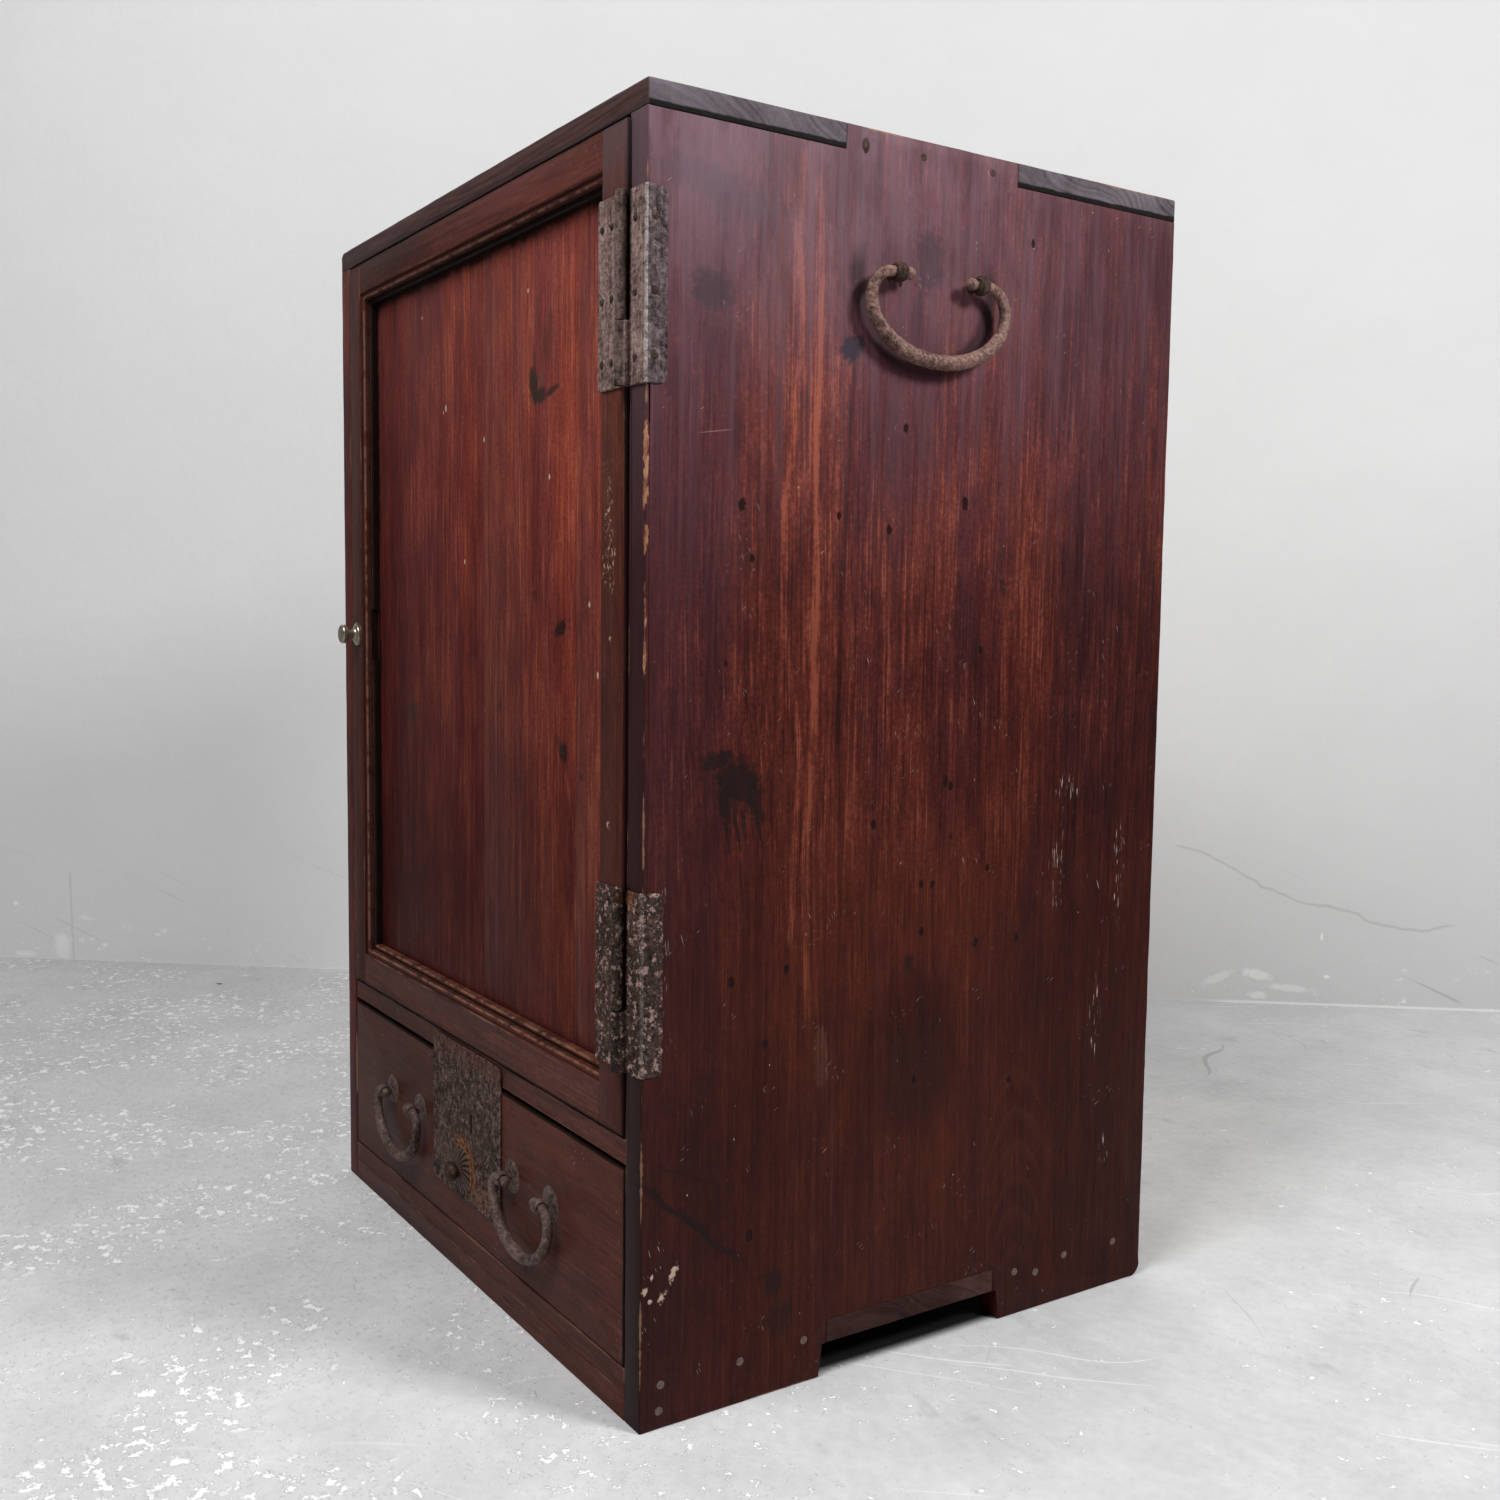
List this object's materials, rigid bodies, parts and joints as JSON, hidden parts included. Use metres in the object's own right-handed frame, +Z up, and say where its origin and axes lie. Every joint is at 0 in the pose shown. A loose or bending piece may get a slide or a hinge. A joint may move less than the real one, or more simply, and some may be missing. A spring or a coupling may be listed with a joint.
{
  "type": "tea chest",
  "caption": "Tall wooden box chest with one framed door over a drawer, forged iron butt hinges, lock plate, drawer bails and side carrying bails.",
  "frame": {"origin": "middle of the floor rectangle of the whole object's bounding box", "axes": "+Z up, the door and drawer face -Y, +X to the right as seen from the front"},
  "size_m": [0.517, 0.419, 0.74],
  "materials": {
    "case_wood": "softwood boards under dark red-brown wiped lacquer, with straight grain, dents, specks and worn edges",
    "frame_wood": "softwood under darker brown wiped lacquer, worn along its arrises",
    "panel_wood": "thin softwood boards under red wiped lacquer, with dark knots",
    "bare_wood": "unfinished softwood, darkened with age",
    "peg_wood": "end grain of hardwood pegs, darkened",
    "forged_iron": "forged iron with brown-black scale and granular rust",
    "knob_brass": "aged brass, dulled"
  },
  "bodies": {
    "carcass": {"side_board_left": "case_wood", "side_board_right": "case_wood", "top_board": "case_wood", "bottom_board": "case_wood", "front_rail": "frame_wood", "apron": "frame_wood", "divider_board": "frame_wood", "back_board_left": "bare_wood", "back_board_middle": "bare_wood", "back_board_right": "bare_wood", "shelf_board": "bare_wood", "shelf_cleat_left": "bare_wood", "shelf_cleat_right": "bare_wood", "door_stop": "bare_wood", "side_pegs": "peg_wood", "top_nails": "forged_iron", "back_nails": "forged_iron", "hinge_upper_carcass_leaf": "forged_iron", "hinge_lower_carcass_leaf": "forged_iron", "hinge_pins": "forged_iron", "hinge_carcass_nails": "forged_iron", "carrying_posts": "forged_iron"},
    "door": {"door_stile_lock": "frame_wood", "door_stile_hinge": "frame_wood", "door_rail_top": "frame_wood", "door_rail_bottom": "frame_wood", "door_panel_left": "panel_wood", "door_panel_middle": "panel_wood", "door_panel_right": "panel_wood", "moulding_left": "frame_wood", "moulding_right": "frame_wood", "moulding_top": "frame_wood", "moulding_bottom": "frame_wood", "hinge_upper_door_leaf": "forged_iron", "hinge_lower_door_leaf": "forged_iron", "hinge_door_nails": "forged_iron", "knob_rose": "knob_brass"},
    "knob_latch": {"knob": "knob_brass", "latch_tongue": "forged_iron"},
    "drawer": {"drawer_front": "frame_wood", "drawer_side_left": "bare_wood", "drawer_side_right": "bare_wood", "drawer_back": "bare_wood", "drawer_bottom": "bare_wood", "drawer_pegs": "peg_wood", "lock_plate": "forged_iron", "lock_boss": "forged_iron", "lock_plate_nails": "forged_iron", "lock_case": "forged_iron", "drawer_bail_posts": "forged_iron", "drawer_bail_roses": "forged_iron"},
    "lock_bolt": {"lock_bolt": "forged_iron"},
    "drawer_bail_left": {"drawer_bail_left": "forged_iron"},
    "drawer_bail_right": {"drawer_bail_right": "forged_iron"},
    "carrying_bail_left": {"carrying_bail_left": "forged_iron"},
    "carrying_bail_right": {"carrying_bail_right": "forged_iron"}
  },
  "joints": [
    {"name": "door_swing", "type": "hinge", "parent": "carcass", "child": "door", "pos_m": [0.223, -0.1992, 0.45], "axis": [0, 0, 1], "range_deg": [0, 180]},
    {"name": "knob_turn", "type": "hinge", "parent": "door", "child": "knob_latch", "pos_m": [-0.21, -0.2025, 0.4429], "axis": [0, 1, 0], "range_deg": [0, 90]},
    {"name": "drawer_slide", "type": "slide", "parent": "carcass", "child": "drawer", "axis": [0, -1, 0], "range_m": [0, 0.3]},
    {"name": "lock_bolt_throw", "type": "slide", "parent": "drawer", "child": "lock_bolt", "axis": [0, 0, 1], "range_m": [0, 0.008]},
    {"name": "drawer_bail_left_swing", "type": "hinge", "parent": "drawer", "child": "drawer_bail_left", "pos_m": [-0.114, -0.2025, 0.0963], "axis": [-1, 0, 0], "range_deg": [-4, 180]},
    {"name": "drawer_bail_right_swing", "type": "hinge", "parent": "drawer", "child": "drawer_bail_right", "pos_m": [0.102, -0.2025, 0.0963], "axis": [-1, 0, 0], "range_deg": [-4, 180]},
    {"name": "carrying_bail_left_swing", "type": "hinge", "parent": "carcass", "child": "carrying_bail_left", "pos_m": [-0.2525, -0.0005, 0.6595], "axis": [0, 1, 0], "range_deg": [-4, 180]},
    {"name": "carrying_bail_right_swing", "type": "hinge", "parent": "carcass", "child": "carrying_bail_right", "pos_m": [0.2525, -0.0005, 0.6595], "axis": [0, -1, 0], "range_deg": [-4, 180]}
  ]
}
